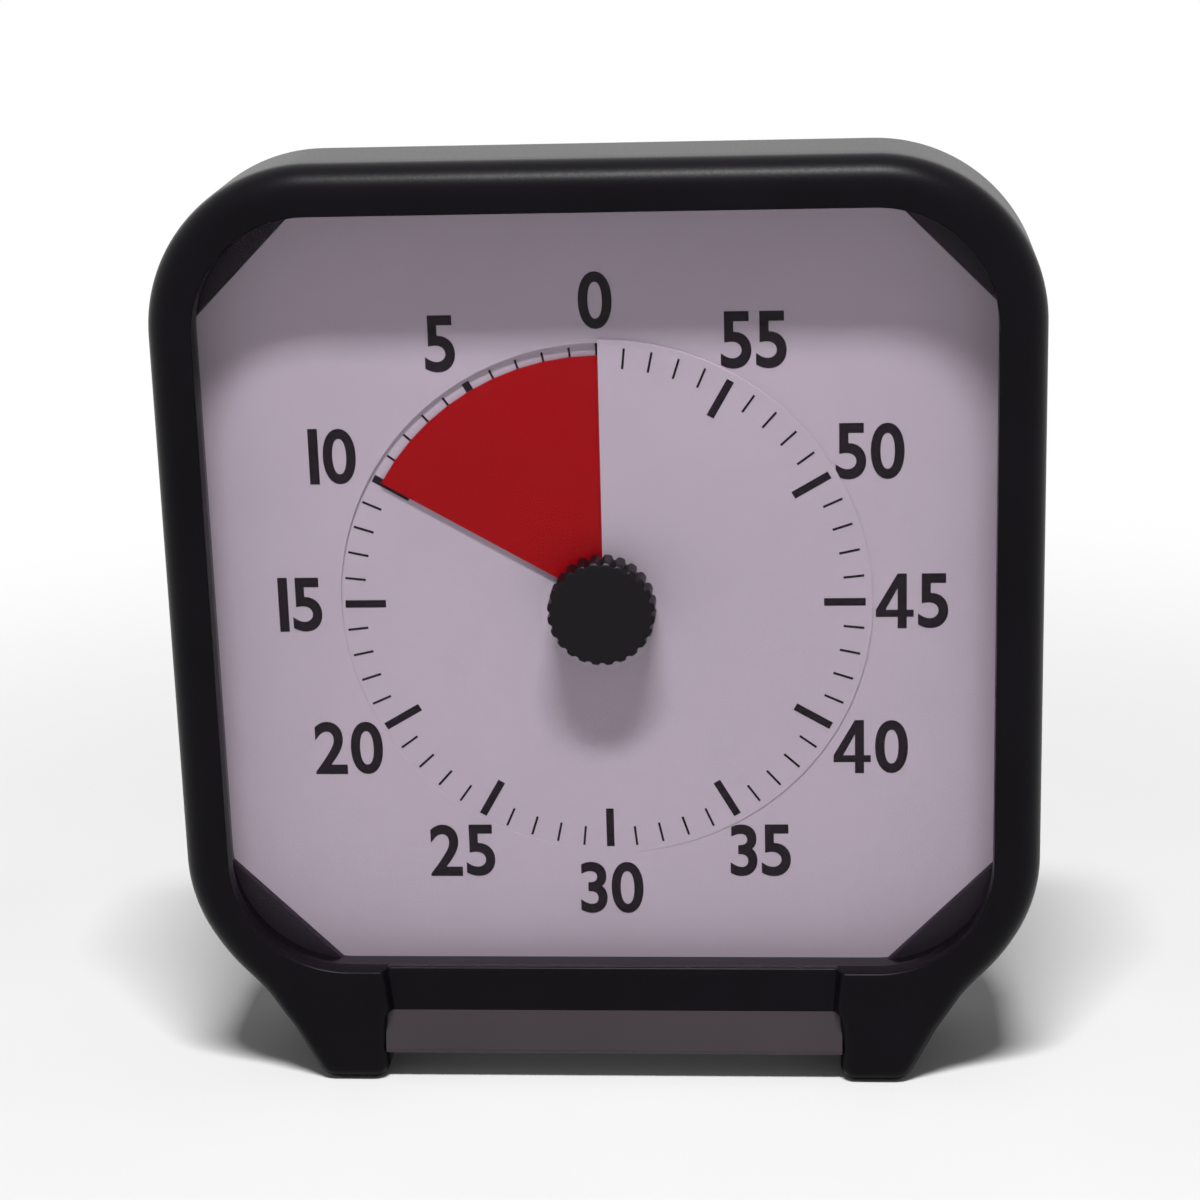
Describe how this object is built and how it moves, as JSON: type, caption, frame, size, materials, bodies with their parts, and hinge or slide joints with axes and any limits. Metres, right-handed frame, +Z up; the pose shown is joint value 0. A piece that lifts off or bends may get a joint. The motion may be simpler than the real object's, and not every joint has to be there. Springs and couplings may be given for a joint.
{
  "type": "visual countdown timer",
  "caption": "Standing visual timer: black rounded-square case on two feet, pale dial behind a clear lens, red disk that shrinks to zero, fluted centre knob.",
  "frame": {"origin": "middle of the box round the whole timer, on the surface that it stands on", "axes": "+X to the right seen from the front, +Y from the front to the back, +Z up"},
  "size_m": [0.19, 0.044, 0.2073],
  "materials": {
    "case_black": "satin moulded",
    "lens_clear": "clear polished",
    "dial_white": "matt printed",
    "disk_red": "matt",
    "knob_black": "satin fluted",
    "steel": "plain",
    "wheel_plastic": "moulded",
    "magnet": "sintered",
    "movement_black": "moulded",
    "brass": "turned",
    "copper": "enamelled wire",
    "board_green": "lacquered",
    "epoxy_black": "cast",
    "cell_jacket": "plain jacket",
    "lead_red": "insulated",
    "lead_black": "insulated",
    "switch_white": "moulded",
    "ribbon_grey": "flat cable"
  },
  "bodies": {
    "case": {"front_frame": "case_black", "lens": "lens_clear", "dial_plate": "dial_white", "back_cover": "case_black", "movement_front": "movement_black", "movement_back": "movement_black", "movement_carrier": "movement_black", "bush": "brass", "bush_nut": "brass", "bush_washer": "steel", "stator": "steel", "coil_bobbin": "wheel_plastic", "coil_winding": "copper", "circuit_board": "board_green", "quartz_can": "steel", "driver_chip": "epoxy_black", "battery_cell": "cell_jacket", "contact_positive": "steel", "contact_negative": "steel", "lead_positive": "lead_red", "lead_negative": "lead_black", "sound_board": "board_green", "buzzer": "epoxy_black", "switch_body": "steel", "ribbon_lead": "ribbon_grey", "case_screws": "steel", "dial_screws": "steel", "carrier_screws": "steel", "board_screws": "steel"},
    "spindle": {"knob": "knob_black", "setting_arbor": "steel", "clutch_spring": "steel"},
    "disk": {"red_disk": "disk_red"},
    "rotor": {"rotor_pinion": "wheel_plastic", "rotor_magnet": "magnet"},
    "fifth": {"fifth_wheel": "wheel_plastic"},
    "fourth": {"fourth_wheel": "wheel_plastic"},
    "third": {"third_wheel": "wheel_plastic"},
    "centre": {"centre_wheel": "wheel_plastic"},
    "switch": {"switch_slider": "switch_white"},
    "lid": {"battery_lid": "case_black"}
  },
  "joints": [
    {"name": "setting_turn", "type": "hinge", "parent": "case", "child": "spindle", "pos_m": [0, 0, 0.1094], "axis": [0, -1, 0], "range_deg": [-60, 300]},
    {"name": "disk_advance", "type": "slide", "parent": "spindle", "child": "disk", "axis": [0, -1, 0], "range_m": [-0.00025, 0.00125]},
    {"name": "rotor_spin", "type": "hinge", "parent": "case", "child": "rotor", "pos_m": [0.01319, 0, 0.10741], "axis": [0, -1, 0], "continuous": true},
    {"name": "fifth_spin", "type": "hinge", "parent": "case", "child": "fifth", "pos_m": [0.01136, 0, 0.09707], "axis": [0, -1, 0], "continuous": true},
    {"name": "fourth_spin", "type": "hinge", "parent": "case", "child": "fourth", "pos_m": [0.0015, 0, 0.09348], "axis": [0, -1, 0], "continuous": true},
    {"name": "third_spin", "type": "hinge", "parent": "case", "child": "third", "pos_m": [-0.00955, 0, 0.09985], "axis": [0, -1, 0], "continuous": true},
    {"name": "centre_spin", "type": "hinge", "parent": "case", "child": "centre", "pos_m": [0, 0, 0.1094], "axis": [0, -1, 0], "continuous": true},
    {"name": "sound_switch", "type": "slide", "parent": "case", "child": "switch", "axis": [0, 0, 1], "range_m": [0, 0.003]},
    {"name": "battery_lid_slide", "type": "slide", "parent": "case", "child": "lid", "axis": [0, 0, 1], "range_m": [0, 0.022]}
  ],
  "couplings": [
    {"joint": "disk_advance", "follows": "setting_turn", "m_per_rad": 0.00023873},
    {"joint": "fifth_spin", "follows": "rotor_spin", "ratio": -0.16667},
    {"joint": "fourth_spin", "follows": "rotor_spin", "ratio": 0.033333},
    {"joint": "third_spin", "follows": "rotor_spin", "ratio": -0.0044444},
    {"joint": "centre_spin", "follows": "rotor_spin", "ratio": 0.00055556}
  ]
}
